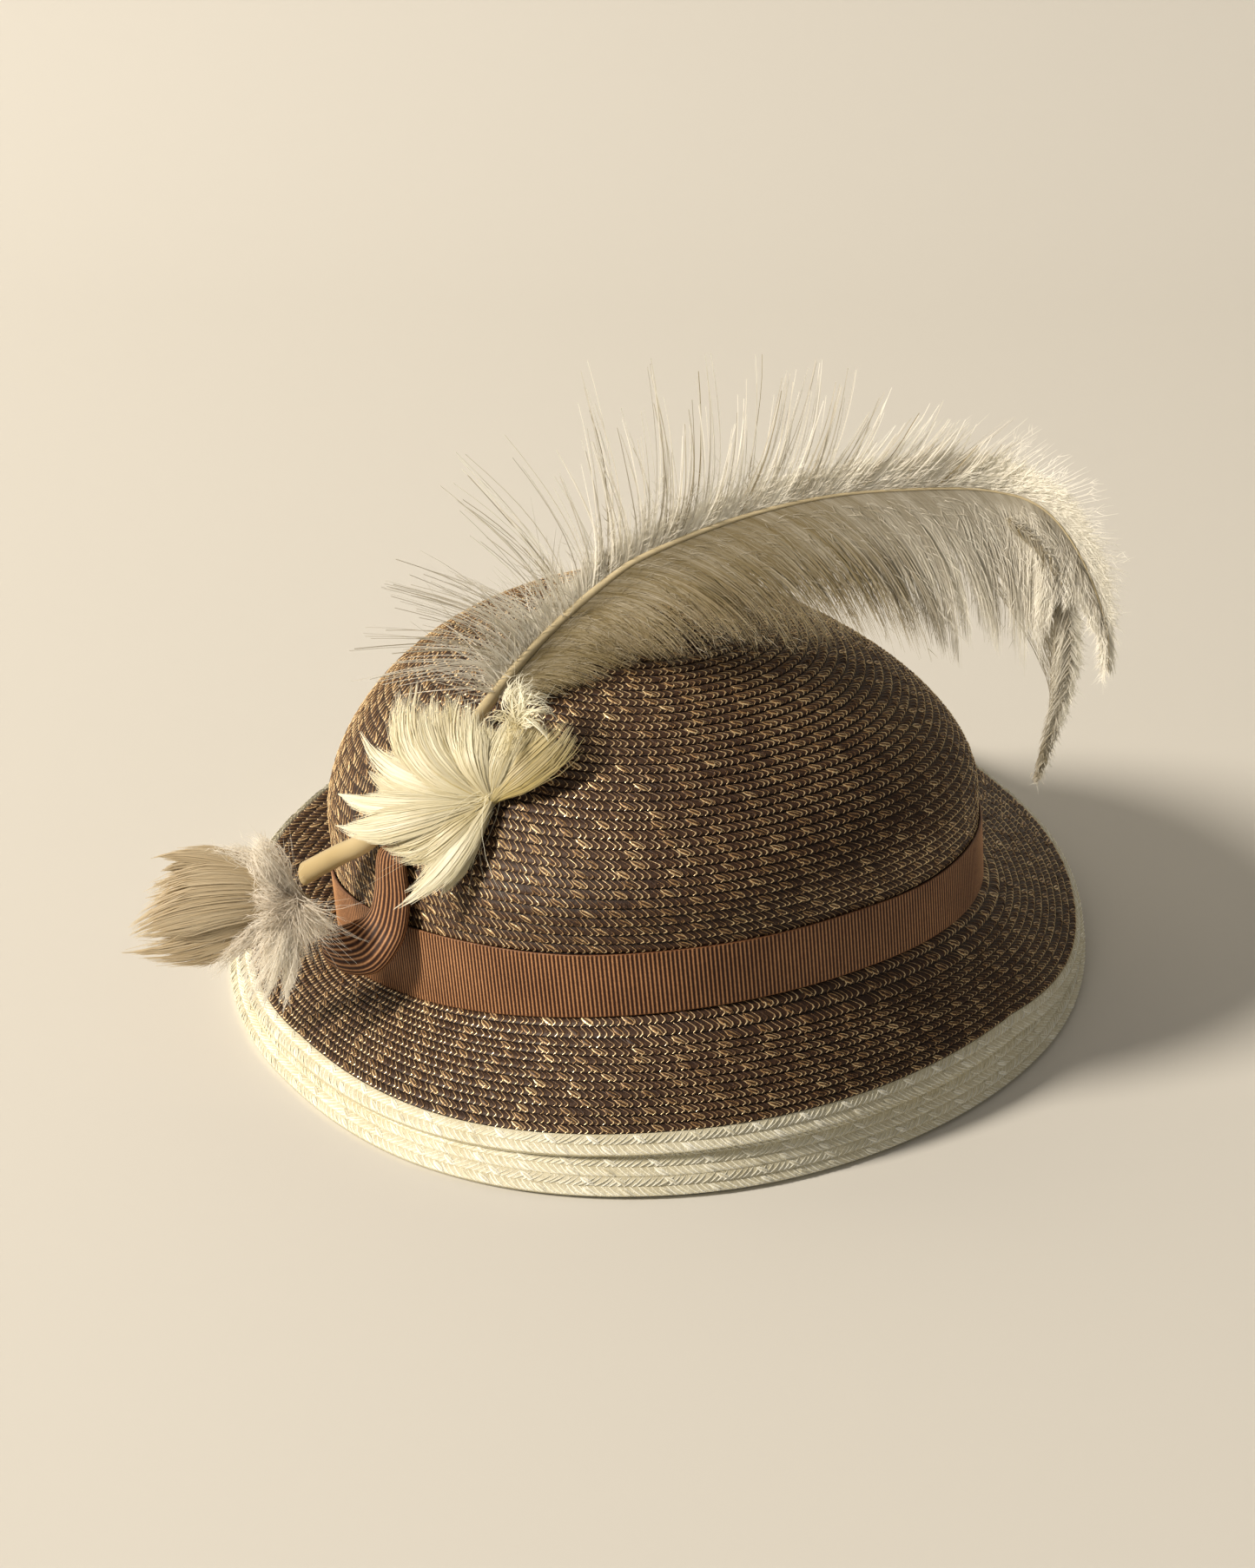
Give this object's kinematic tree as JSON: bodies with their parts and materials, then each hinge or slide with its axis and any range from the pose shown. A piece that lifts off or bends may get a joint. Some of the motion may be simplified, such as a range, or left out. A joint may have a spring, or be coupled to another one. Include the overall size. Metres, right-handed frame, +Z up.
{
  "type": "feather hat",
  "caption": "Domed straw hat with a rolled brim of two layers, a ribbon band, a long ostrich plume over the crown and fans of short feathers at its left.",
  "frame": {"origin": "the middle of the bounding box, on the surface the hat stands on", "axes": "+Z is up. -Y is the side nearest the viewer, which carries the trim at its left. +X is to the right."},
  "size_m": [0.2626, 0.2644, 0.1789],
  "materials": {
    "brown_straw": "glossy sewn straw braid",
    "cream_straw": "glossy sewn straw braid",
    "ribbon": "ribbed ribbon with a soft sheen",
    "ostrich_feather": "soft open barbs on an amber shaft",
    "ivory_feather": "smooth glossy vanes",
    "beige_feather": "soft webbed vanes"
  },
  "bodies": {
    "root": {"crown_side": "brown_straw", "crown_tip": "brown_straw", "brim_upper": "brown_straw", "brim_upper_edge": "cream_straw", "under_brim": "cream_straw", "hat_band": "ribbon", "ribbon_knot": "ribbon", "ostrich_plume": "ostrich_feather", "hackle_cluster": "ivory_feather", "body_feathers": "beige_feather", "curled_tuft": "ivory_feather"}
  },
  "joints": []
}
